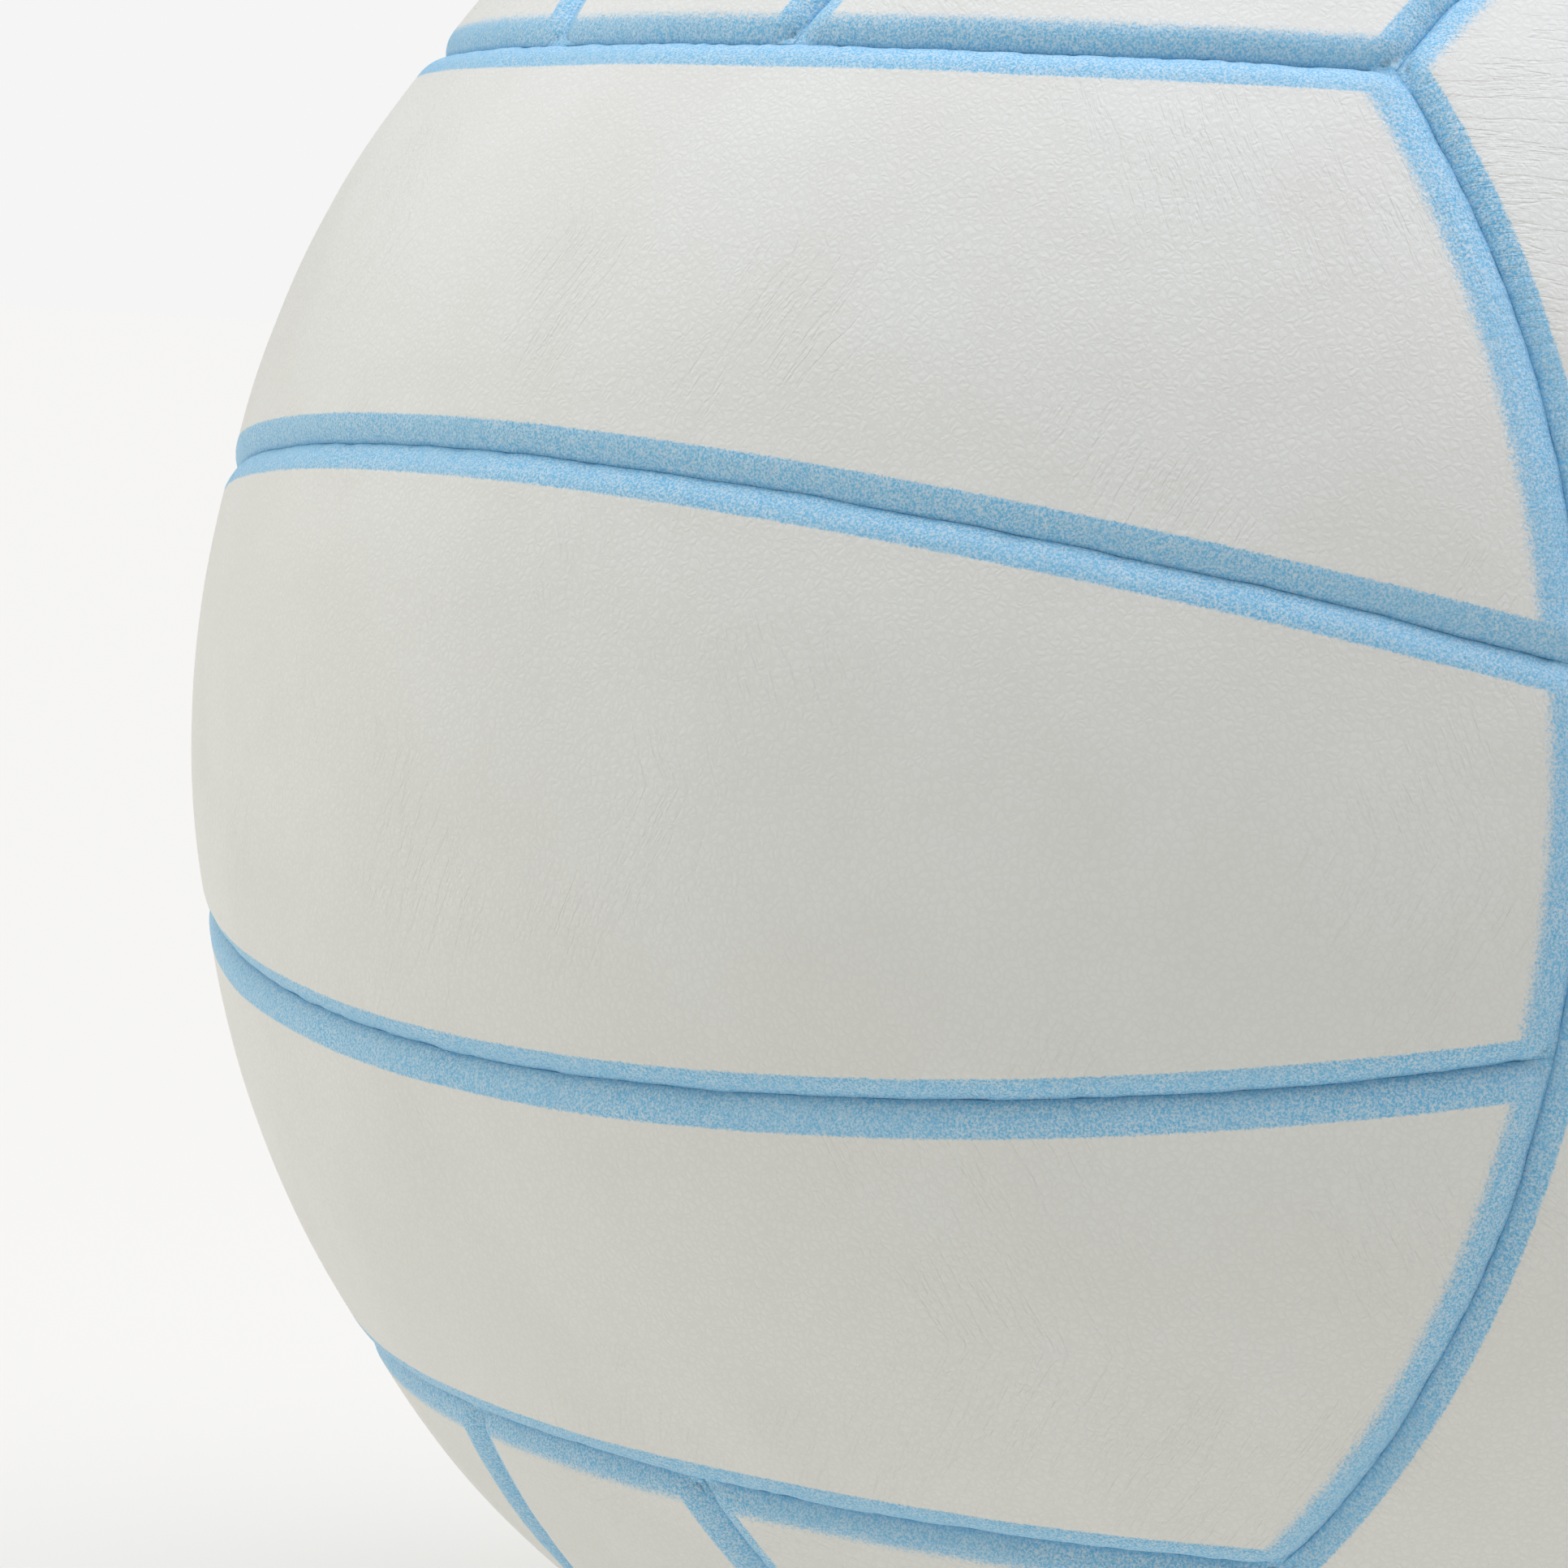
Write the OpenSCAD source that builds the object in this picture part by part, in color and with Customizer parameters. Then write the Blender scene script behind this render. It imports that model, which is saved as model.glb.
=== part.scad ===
// Classic 18-panel volleyball: six faces of three parallel strips, the strips of
// neighbouring faces at right angles. Each panel is a cover skin with turned-in
// edges, a foam pad and a backing cloth, sewn together over an inflated bladder.
// The origin is the centre of the ball. The valve points along +Y.

/* [Ball] */
// Outer diameter of the inflated ball
ball_d = 210; // [205:0.5:215]
// Angle at the centre from the middle of a face to either of its inner seams
strip_angle = 14; // [10:0.5:18]

/* [Panels] */
// Thickness of the cover skin
cover_t = 1.2; // [0.8:0.1:1.6]
// Thickness of the foam pad under the skin
foam_t = 2.4; // [1.5:0.1:3]
// Thickness of the cloth behind the foam
cloth_t = 0.5; // [0.3:0.1:0.8]
// Thickness of the skin where it turns in at a seam
rim_t = 0.8; // [0.5:0.1:1]
// Gap between the turned-in edges of two panels
seam_gap = 0.2; // [0.1:0.05:0.4]
// Width of the sloping shoulder beside a seam
shoulder_w = 1.4; // [0.8:0.1:2]
// Depth of the sloping shoulder at a seam
shoulder_h = 1.1; // [0.6:0.1:1.4]

/* [Bladder] */
// Wall of the bladder
bladder_t = 1; // [0.6:0.1:1.5]
// Radius of the patch that reinforces the bladder round its valve
patch_r = 20; // [14:1:22]
// Thickness of that patch
patch_t = 0.8; // [0.5:0.1:1]

/* [Valve] */
// Radius of the hole in the cover
cover_hole_r = 4.2; // [3.5:0.1:5]
// Radius of the housing's nose in that hole
nose_r = 4; // [3.3:0.1:4.8]
// Radius of the housing's stem under the cover
stem_r = 6; // [5:0.1:7]
// Length of the housing, from its nose inwards
housing_h = 18; // [14:1:22]
// Radius of the housing's flange inside the bladder
flange_r = 14; // [10:1:18]
// Thickness of that flange
flange_t = 1.2; // [0.8:0.1:1.6]
// Radius of the replaceable core
core_r = 2.5; // [2:0.1:3]
// Radius of the core's retaining bulb
bulb_r = 3.4; // [3:0.1:4.5]
// Length of that bulb
bulb_h = 2.5; // [1.5:0.5:4]
// Radius of the needle's lead-in hole
needle_hole_r = 1.1; // [1:0.05:1.3]
// Depth of the lead-in hole, above the slit that seals
needle_hole_h = 8; // [5:0.5:12]

/* [Thread] */
// Radius of the sewing thread that closes a seam
thread_r = 0.35; // [0.2:0.05:0.4]

/* [Hidden] */
$fn = 96;

// Clearances
layer_gap = 0.05;
side_gap = 0.1;
valve_gap = 0.3;
core_gap = 0.06;
flush_gap = 0.3;
thread_end = 1.5;

// Radii of the layers, from the outside in
ball_r = ball_d / 2;
cover_in_r = ball_r - cover_t;
foam_out_r = cover_in_r - layer_gap;
foam_in_r = foam_out_r - foam_t;
cloth_out_r = foam_in_r - layer_gap;
cloth_in_r = cloth_out_r - cloth_t;
rim_in_r = cloth_in_r - side_gap;
thread_path_r = rim_in_r - side_gap - thread_r;
patch_out_r = thread_path_r - thread_r + patch_t / 2;
bladder_out_r = patch_out_r - patch_t - layer_gap;
bladder_in_r = bladder_out_r - bladder_t;

// Heights along the valve's axis
nose_top = ball_r - flush_gap;
core_top = nose_top - flush_gap;
stem_top = cover_in_r - flush_gap;
housing_low = nose_top - housing_h;

// Angles on the sphere. A face ends on circles that are ball_r / sqrt(3) from the
// centre plane, so that the six faces close without a gap.
edge_cos = 1 / sqrt(3);
edge_polar = acos(edge_cos);
far_edge_polar = 180 - edge_polar;
seam_half_angle = acos(edge_cos / cos(strip_angle));
long_edge_half_angle = 45;
cutter_reach = ball_r * 1.7;
groove_rise = 1.5;
groove_overrun = 4;
cutter_size = ball_r + 20;

// A face is drawn at the front, -Y, with its strips along X and side by side in Z. It is
// turned round Z, and then round the diagonal [1, 1, 1], which takes X to Y to Z.
// [name, turn round Z, turn round the diagonal, names of the strips on the + and - sides]
FACES = [
    ["front", 0, 0, "upper", "lower"],
    ["back", 180, 0, "upper", "lower"],
    ["bottom", 0, 120, "right", "left"],
    ["top", 180, 120, "right", "left"],
    ["left", 0, 240, "back", "front"],
    ["right", 180, 240, "back", "front"]
];
VALVE_FACE = "back";
SIDES = [1, 0, -1];
LAYERS = ["cover", "foam", "cloth"];

function strip_name(face, side) =
    side > 0 ? face[3] : side < 0 ? face[4] : "middle";
function panel_name(layer, face, side) =
    str(layer, "_", face[0], "_", strip_name(face, side));

// The angle, at the cover's surface, that a distance along it takes up
function arc_angle(along) = along / ball_r * 180 / PI;

function at_polar(r, polar) = [r * sin(polar), r * cos(polar)];

// Keeps what lies more than `polar` away from +Z, less `inset` along the surface
module keep_beyond(polar, inset) {
    far = at_polar(cutter_reach, polar + arc_angle(inset));
    rotate_extrude()
        polygon([[0, 0], far, [far[0], -cutter_size], [0, -cutter_size]]);
}

// Arc of V section, round Z and centred on -Y, that cuts the shoulders of the seam
// at `polar` from +Z
module groove(polar, half_angle) {
    bed = at_polar(ball_r - shoulder_h, polar);
    crests = [for (side = [-1, 1]) at_polar(ball_r, polar + side * arc_angle(shoulder_w))];
    rotate([0, 0, -90 - half_angle])
        rotate_extrude(angle = 2 * half_angle)
        polygon(concat([bed], [for (crest = crests) bed + groove_rise * (crest - bed)]));
}

module shell(out_r, in_r) {
    difference() {
        sphere(r = out_r);
        sphere(r = in_r);
    }
}

// What lies between two angles, counted from -Y up towards +Z, along all of X
module wedge(low, high) {
    rotate([90, 0, 90])
        linear_extrude(height = 2 * cutter_size, center = true)
        polygon(concat(
            [[0, 0]],
            [for (angle = [low, high]) cutter_reach * [-cos(angle), sin(angle)]]
        ));
}

// One strip of the front face between two radii, drawn in from its seams by inset
module strip(side, out_r, in_r, inset) {
    turn = arc_angle(inset);
    low = side == 0 ? turn - strip_angle : turn + strip_angle;
    high = side == 0 ? strip_angle - turn : 90;
    mirror([0, 0, side < 0 ? 1 : 0]) intersection() {
        shell(out_r, in_r);
        rotate([-90, 0, 0]) keep_beyond(far_edge_polar, inset);
        wedge(low, high);
        if (side != 0) keep_beyond(edge_polar, inset);
    }
}

// The grooves round one strip of the front face
module grooves(side) {
    rotate([90, 0, 0]) groove(edge_polar, 180);
    for (flip = side == 0 ? [0, 1] : [side > 0 ? 0 : 1]) mirror([0, 0, flip]) {
        rotate([-strip_angle, 0, 0]) groove(90, seam_half_angle + groove_overrun);
        if (side != 0) groove(edge_polar, long_edge_half_angle + groove_overrun);
    }
}

module place_face(face) {
    rotate(a = face[2], v = [1, 1, 1]) rotate([0, 0, face[1]]) children();
}

// Points +Z along the valve's axis, +Y
module on_valve_axis() {
    rotate([-90, 0, 0]) children();
}

module valve_hole(r) {
    on_valve_axis() translate([0, 0, ball_r / 2]) cylinder(r = r, h = ball_r);
}

function has_valve(face, side) = face[0] == VALVE_FACE && side == 0;

module drilled(face, side, hole_r) {
    if (has_valve(face, side)) {
        difference() {
            children();
            valve_hole(hole_r);
        }
    } else {
        children();
    }
}

// Skin of one panel: a shallow tray whose rim turns in at the seams
module cover(face, side) {
    color([0.9, 0.9, 0.87])
        drilled(face, side, cover_hole_r)
        place_face(face)
        difference() {
            strip(side, ball_r, rim_in_r, seam_gap / 2);
            strip(side, cover_in_r, rim_in_r - cover_t, seam_gap / 2 + rim_t);
            grooves(side);
        }
}

module foam(face, side) {
    color([0.93, 0.85, 0.6])
        drilled(face, side, stem_r + valve_gap)
        place_face(face)
        strip(side, foam_out_r, foam_in_r, seam_gap / 2 + rim_t + side_gap);
}

module cloth(face, side) {
    color([0.8, 0.82, 0.84])
        drilled(face, side, stem_r + valve_gap)
        place_face(face)
        strip(side, cloth_out_r, cloth_in_r, seam_gap / 2 + rim_t + side_gap);
}

module panel_layer(layer, face, side) {
    if (layer == "cover") cover(face, side);
    else if (layer == "foam") foam(face, side);
    else cloth(face, side);
}

// Thread along an arc round Z, centred on -Y, at a polar angle from +Z
module thread_arc(polar, half_angle) {
    path = at_polar(thread_path_r, polar);
    half = half_angle - thread_end / path[0] * 180 / PI;
    translate([0, 0, path[1]])
        rotate([0, 0, -90 - half])
        rotate_extrude(angle = 2 * half)
        translate([path[0], 0])
        circle(r = thread_r, $fn = 32);
}

// The seams that a face owns: its two inner seams and its two long edges
module face_threads() {
    for (flip = [0, 1]) mirror([0, 0, flip]) {
        thread_arc(edge_polar, long_edge_half_angle);
        rotate([-strip_angle, 0, 0]) thread_arc(90, seam_half_angle);
    }
}

module seam_thread() {
    color([0.75, 0.78, 0.8])
        for (face = FACES) place_face(face) face_threads();
}

module bladder() {
    color([0.12, 0.12, 0.13])
        difference() {
            shell(bladder_out_r, bladder_in_r);
            valve_hole(stem_r + layer_gap);
        }
}

// Disc of a spherical shell round the valve's axis
module shell_disc(out_r, in_r, disc_r, hole_r) {
    intersection() {
        shell(out_r, in_r);
        on_valve_axis() difference() {
            cylinder(r = disc_r, h = ball_r);
            cylinder(r = hole_r, h = ball_r);
        }
    }
}

module bladder_patch() {
    color([0.2, 0.2, 0.21])
        shell_disc(patch_out_r, bladder_out_r + layer_gap, patch_r, stem_r + layer_gap);
}

module valve_housing() {
    flange_out_r = bladder_in_r - layer_gap;
    bore_r = core_r + core_gap;
    color([0.25, 0.25, 0.26]) union() {
        on_valve_axis() rotate_extrude()
            polygon([
                [bore_r, housing_low],
                [stem_r, housing_low],
                [stem_r, stem_top],
                [nose_r, stem_top],
                [nose_r, nose_top],
                [bore_r, nose_top]
            ]);
        shell_disc(flange_out_r, flange_out_r - flange_t, flange_r, stem_r - layer_gap);
    }
}

module valve_core() {
    color([0.85, 0.84, 0.8])
        on_valve_axis() rotate_extrude()
            polygon([
                [0, housing_low - bulb_h],
                [bulb_r, housing_low - bulb_h],
                [bulb_r, housing_low - layer_gap],
                [core_r, housing_low - layer_gap],
                [core_r, core_top],
                [needle_hole_r, core_top],
                [needle_hole_r, core_top - needle_hole_h],
                [0, core_top - needle_hole_h]
            ]);
}

for (layer = LAYERS, face = FACES, side = SIDES)
    panel_layer(layer, face, side);
seam_thread();
bladder();
bladder_patch();
valve_housing();
valve_core();
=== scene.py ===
"""Volleyball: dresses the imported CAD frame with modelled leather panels, foam pads and backing cloths.

Lengths are in metres, in the frame of the CAD, unless a name or a comment says millimetres. Each modelled
piece replaces the CAD node whose place it takes. The thread, the bladder, its patch and the valve keep
their CAD shapes.
"""
import math
from collections import namedtuple

import bpy
import numpy as np
from mathutils import Matrix, Vector


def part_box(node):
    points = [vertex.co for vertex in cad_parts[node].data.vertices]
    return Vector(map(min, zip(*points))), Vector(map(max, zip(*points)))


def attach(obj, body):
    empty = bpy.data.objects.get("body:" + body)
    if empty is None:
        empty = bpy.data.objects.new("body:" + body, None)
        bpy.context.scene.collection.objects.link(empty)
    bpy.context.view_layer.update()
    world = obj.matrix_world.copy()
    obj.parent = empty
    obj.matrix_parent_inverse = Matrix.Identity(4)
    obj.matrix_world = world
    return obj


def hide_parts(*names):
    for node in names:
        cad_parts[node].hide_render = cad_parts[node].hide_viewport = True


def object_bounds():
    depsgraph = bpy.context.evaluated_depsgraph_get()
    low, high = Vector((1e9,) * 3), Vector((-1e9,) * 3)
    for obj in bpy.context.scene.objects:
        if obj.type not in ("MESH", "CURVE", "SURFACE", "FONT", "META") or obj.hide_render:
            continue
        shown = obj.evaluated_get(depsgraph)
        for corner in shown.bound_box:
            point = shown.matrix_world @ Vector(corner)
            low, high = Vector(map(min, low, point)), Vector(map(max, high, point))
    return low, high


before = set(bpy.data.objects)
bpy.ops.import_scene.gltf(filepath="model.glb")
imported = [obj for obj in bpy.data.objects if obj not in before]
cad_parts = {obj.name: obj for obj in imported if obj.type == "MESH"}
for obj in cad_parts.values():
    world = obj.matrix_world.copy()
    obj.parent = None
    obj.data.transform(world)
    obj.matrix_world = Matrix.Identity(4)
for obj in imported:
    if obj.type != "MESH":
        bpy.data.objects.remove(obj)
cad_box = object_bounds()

MM = 0.001

# ---------------------------------------------------------------- sizes read from the frame

BALL_R = float(cad_box[1][0])
FOAM_OUT_R = -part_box("foam_front_middle")[0][1]
CLOTH_OUT_R = -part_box("cloth_front_middle")[0][1]

# ---------------------------------------------------------------- the seam layout of the CAD

# on a ball of radius 1: the circles where a face ends lie this far from the centre, and have this radius
FACE_LIMIT = 1 / math.sqrt(3)
CIRCLE_R = math.sqrt(2 / 3)
CORNER_ANGLE = math.radians(45)        # from the middle of such a circle's arc to the face's corner
STRIP_ANGLE = math.radians(14)         # from the middle of a face to its inner seams
INNER_HALF = math.acos(FACE_LIMIT / math.cos(STRIP_ANGLE))      # half the arc of an inner seam
END_ANGLE = math.asin(FACE_LIMIT * math.tan(STRIP_ANGLE) / CIRCLE_R)    # where it meets the end circle

# name of the face, whether it has a half turn round Z and how many thirds of a turn round the diagonal,
# both from the front face, and the names of its two outer strips
Face = namedtuple("Face", "name half_turn thirds plus minus")
FACES = [
    Face("front", False, 0, "upper", "lower"),
    Face("back", True, 0, "upper", "lower"),
    Face("bottom", False, 1, "right", "left"),
    Face("top", True, 1, "right", "left"),
    Face("left", False, 2, "back", "front"),
    Face("right", True, 2, "back", "front"),
]
VALVE_PANEL = ("back", 0)              # face and side of the strip with the valve's hole
FIRST_SEED = 100                       # the panels' random seeds count from here
FACE_SEEDS = 10                        # and go up by this from face to face

# rough length and width of a strip, which turn distances into shares of it
MIDDLE_SIZE = (196 * MM, 51 * MM)
OUTER_SIZE = (190 * MM, 44 * MM)

# ---------------------------------------------------------------- shapes of the soft layers

SHOULDER_W = 2.6 * MM      # how far from a seam the leather starts to turn down
SHOULDER_H = 1.15 * MM     # how far it has turned down at the seam
SHOULDER_ARC = 0.62        # how much of a quarter turn the shoulder makes
CROWN_H = 0.26 * MM        # how much lower a panel lies close to its seams
CROWN_REACH = 9 * MM       # how far from the seams that is felt
LAYER_GAP = 0.05 * MM      # between one layer and the next
COVER_GAP = 0.012 * MM     # from a seam to the leather's edge
SKIN_IN_R = FOAM_OUT_R + LAYER_GAP
RIM_R = BALL_R - 4.3 * MM  # the radius that the leather's turned rim reaches in to
RIM_T = 0.8 * MM           # how thick that rim is
FOAM_INSET = 1.05 * MM     # from a seam to the foam's edge
FOAM_IN_R = CLOTH_OUT_R + LAYER_GAP
FOAM_SHOULDER = 1.6 * MM   # how far from its edge the foam starts to turn down
CLOTH_INSET = 1.1 * MM     # from a seam to the cloth's edge
CLOTH_T = 0.5 * MM
CLOTH_IN_R = CLOTH_OUT_R - CLOTH_T
CLOTH_SHOULDER = 0.4 * MM
SOFT_TURN = 0.6            # how much of its thickness the edge of a pad or cloth turns down
COVER_HOLE_R = 4.2 * MM    # the valve's hole in the leather
PAD_HOLE_R = 6.3 * MM      # and in the foam and the cloth
HOLE_LIP_W = 0.9 * MM      # how far from the hole the leather starts to turn down
HOLE_LIP_H = 0.45 * MM     # how far it has turned down at the hole
HOLE_MARGIN = 2.5 * MM     # from the hole to the grid round it, at the least
HOLE_STEPS = 12            # rings between that grid and the hole
LEATHER_CELLS = (44, 10)   # cells of the leather's inner skin, along and across a strip
LEATHER_SPLIT = 8          # how finely its outer skin splits each of them
SOFT_CELLS = (96, 28)      # cells of a pad or cloth

# ---------------------------------------------------------------- noise

KNOTS = 4096               # random values in one line of noise


def noise_waves(seed, count, shortest, longest):
    """Random plane waves whose sum is a smooth noise in space."""
    rng = np.random.default_rng(seed)
    direction = rng.normal(size=(count, 3))
    direction /= np.linalg.norm(direction, axis=1)[:, None]
    length = rng.uniform(shortest, longest, count)
    return direction * (2 * math.pi / length)[:, None], rng.uniform(0, 2 * math.pi, count)


def space_noise(points, waves):
    """The waves' sum at the points, with a standard deviation of about 1."""
    vectors, phases = waves
    return np.sin(points @ vectors.T + phases).sum(axis=-1) / math.sqrt(len(phases) / 2)


def line_noise(run, step, seed):
    """Smooth random values from -1 to 1 along a line, with one knot each step."""
    knots = np.random.default_rng(seed).uniform(-1, 1, KNOTS)
    place = run / step + KNOTS // 2
    index = np.floor(place).astype(int)
    blend = place - index
    blend = blend * blend * (3 - 2 * blend)
    return knots[index] * (1 - blend) + knots[index + 1] * blend


# a sideways noise for each axis, and two in the leather's height: seed, how many waves, their lengths
WARP_WAVES = [noise_waves(seed, 14, 7 * MM, 18 * MM) for seed in (11, 12, 13)]
WARP_H = 0.06 * MM
SWELL_WAVES = noise_waves(21, 16, 26 * MM, 60 * MM)
SWELL_H = 0.06 * MM
DIMPLE_WAVES = noise_waves(22, 20, 5 * MM, 11 * MM)
DIMPLE_H = 0.012 * MM


def warp(points):
    """Moves points a little sideways, by a noise that all layers share, so that seams waver together."""
    radius = np.linalg.norm(points, axis=-1, keepdims=True)
    shift = np.stack([space_noise(points, waves) for waves in WARP_WAVES], axis=-1)
    moved = points + WARP_H * shift
    return moved / np.linalg.norm(moved, axis=-1, keepdims=True) * radius


# ---------------------------------------------------------------- the painted bands

BAND_W = 2.5               # how wide the paint is beside a seam, on each panel, in millimetres
BAND_VARY = 0.25           # how much that differs from panel to panel, in millimetres
# how much wider the paint is along a panel's two long sides and its ends, in millimetres, where the photo
# shows it; the first side is the one nearer the face's middle, or the upper side of a middle panel
BAND_TRIM = {
    "front_upper": (-0.1, 0.7, 1.3),
    "front_middle": (0.1, -0.4, 0.9),
    "front_lower": (0.3, 0.4, 0.5),
    "right_front": (0.0, -0.6, 0.0),
}


def band_trim(name, seed):
    """How much wider a panel's paint is along its two long sides and its ends, in millimetres."""
    vary = np.random.default_rng(seed).uniform(-BAND_VARY, BAND_VARY, 3)
    return BAND_TRIM.get(name, tuple(vary))


# ---------------------------------------------------------------- one strip as a patch of the sphere

# a seam's circle: where a direction's part along the normal equals the limit; inside, it is smaller
Edge = namedtuple("Edge", "normal limit")
# which strip of the face it is (1, 0 or -1), its rough size, the edges along it and the edge at its ends
Strip = namedtuple("Strip", "side size sides end")
END_RUN_SHIFT = 0.31       # in metres, keeps the gathers at a panel's two ends from being alike


def polar_seam(polar, part):
    """Points along the inner seam at that angle from the middle of the face; part runs from 0 to 1."""
    across = INNER_HALF * (2 * part - 1)
    front = np.cos(across)
    return np.stack([np.sin(across), -front * math.cos(polar), front * math.sin(polar)], -1)


def outer_seam(level, part):
    """Points along the circle where a face ends above (level 1) or below (level -1)."""
    across = CORNER_ANGLE * (2 * part - 1)
    flat = np.full_like(across, level * FACE_LIMIT)
    return np.stack([CIRCLE_R * np.sin(across), -CIRCLE_R * np.cos(across), flat], -1)


def end_seam(hand, low, high, part):
    """Points up the circle where a face ends at the right (hand 1) or left (hand -1), from low to high."""
    angle = low + (high - low) * part
    flat = np.full_like(angle, -FACE_LIMIT)
    return np.stack([hand * CIRCLE_R * np.cos(angle), flat, CIRCLE_R * np.sin(angle)], -1)


def make_strip(side):
    """The strip of the front face with that side: 1 upper, 0 middle, -1 lower."""
    sine, cosine = math.sin(STRIP_ANGLE), math.cos(STRIP_ANGLE)
    end = Edge(np.array([0, 1, 0]), -FACE_LIMIT)
    if side == 0:
        sides = [Edge(np.array([0, sine, level * cosine]), 0.0) for level in (1, -1)]
        return Strip(0, MIDDLE_SIZE, sides, end)
    sides = [Edge(np.array([0, -sine, -side * cosine]), 0.0), Edge(np.array([0, 0, side]), FACE_LIMIT)]
    return Strip(side, OUTER_SIZE, sides, end)


def long_seams(side, u):
    """A strip's lowest and highest angle on its end circles, and its two long seams."""
    if side == 0:
        return -END_ANGLE, END_ANGLE, polar_seam(-STRIP_ANGLE, u), polar_seam(STRIP_ANGLE, u)
    if side == 1:
        return END_ANGLE, CORNER_ANGLE, polar_seam(STRIP_ANGLE, u), outer_seam(1, u)
    return -CORNER_ANGLE, -END_ANGLE, outer_seam(-1, u), polar_seam(-STRIP_ANGLE, u)


def patch(strip, u, v):
    """Unit directions of the strip; u runs along it and v across it, from 0 to 1 between its seams."""
    u, v = np.broadcast_arrays(np.asarray(u, float), np.asarray(v, float))
    low, high, bottom, top = long_seams(strip.side, u)
    left, right = end_seam(-1, low, high, v), end_seam(1, low, high, v)
    corner = {(hand, level): end_seam(hand, low, high, np.array(float(level)))
              for hand in (-1, 1) for level in (0, 1)}
    u, v = u[..., None], v[..., None]
    between = (1 - v) * bottom + v * top + (1 - u) * left + u * right
    corners = ((1 - u) * (1 - v) * corner[-1, 0] + u * (1 - v) * corner[1, 0]
               + (1 - u) * v * corner[-1, 1] + u * v * corner[1, 1])
    direction = between - corners
    return direction / np.linalg.norm(direction, axis=-1, keepdims=True)


def inside_edge(direction, edge):
    """How far inside an edge the directions lie, in metres on the ball."""
    reach = np.arccos(np.clip(direction @ edge.normal, -1, 1))
    return BALL_R * (reach - math.acos(edge.limit))


def seam_places(strip, direction):
    """Distance from the nearer long side and from the nearer end, and the way along each."""
    side = np.minimum(*[inside_edge(direction, edge) for edge in strip.sides])
    end = inside_edge(direction, strip.end)
    run = BALL_R * np.arctan2(direction[..., 0], -direction[..., 1])
    end_run = BALL_R * CIRCLE_R * np.arctan2(direction[..., 2], np.abs(direction[..., 0]))
    end_run = end_run + np.where(direction[..., 0] > 0, END_RUN_SHIFT, -END_RUN_SHIFT)
    return side, end, run, end_run


# ---------------------------------------------------------------- the leather's surface

PLEAT_STEP = 1.3 * MM      # from one gather to the next
PLEAT_H = 0.16 * MM        # how deep the deepest are
PLEAT_LIFT = 0.25          # raises their noise, so that more than half of a seam has gathers
PLEAT_POWER = 1.5          # how narrow they are
PLEAT_REACH = 0.8 * MM     # how far from the seam they fade, at the least
PLEAT_REACH_VARY = 1.2 * MM    # and how much further at the most
PLEAT_REACH_STEP = 3 * MM  # how far along a seam that changes
END_SEEDS = 50             # from the seed of a panel's long sides to that of its ends


def pleats(run, across, seed):
    """Small gathers that run away from a seam, deepest beside it."""
    depth = np.clip(line_noise(run, PLEAT_STEP, seed) + PLEAT_LIFT, 0, 1) ** PLEAT_POWER
    reach = PLEAT_REACH + PLEAT_REACH_VARY * np.abs(line_noise(run, PLEAT_REACH_STEP, seed + 1))
    return PLEAT_H * depth * np.exp(-np.maximum(across, 0) / reach)


def arc_drop(way):
    """How far a rounded edge has turned down, from 0 at way 0 to 1 at way 1."""
    return 1 - np.sqrt(1 - way * way)


def leather_radius(strip, direction, place, seed):
    """Radius of the outer skin; place is the same direction turned to the panel's own face."""
    side, end, run, end_run = seam_places(strip, direction)
    near_side = np.clip(1 - side / SHOULDER_W, 0, 1)
    near_end = np.clip(1 - end / SHOULDER_W, 0, 1)
    turn = np.minimum(np.hypot(near_side, near_end), 1)
    drop = SHOULDER_H * arc_drop(turn * SHOULDER_ARC) / arc_drop(SHOULDER_ARC)
    crown = CROWN_H * np.exp(-(np.minimum(side, end) / CROWN_REACH) ** 2)
    gathers = pleats(run, side, seed) + pleats(end_run, end, seed + END_SEEDS)
    spot = place * BALL_R
    swell = SWELL_H * space_noise(spot, SWELL_WAVES) + DIMPLE_H * space_noise(spot, DIMPLE_WAVES)
    return BALL_R - drop - crown - gathers + swell * (1 - turn)


def hole_drop(direction, hole_r):
    """How far a surface turns down at the lip of the valve's hole."""
    away = BALL_R * np.hypot(direction[..., 0], direction[..., 2]) - hole_r
    near = np.clip(1 - away / HOLE_LIP_W, 0, 1)
    return HOLE_LIP_H * arc_drop(near)


# ---------------------------------------------------------------- mesh building


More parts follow.
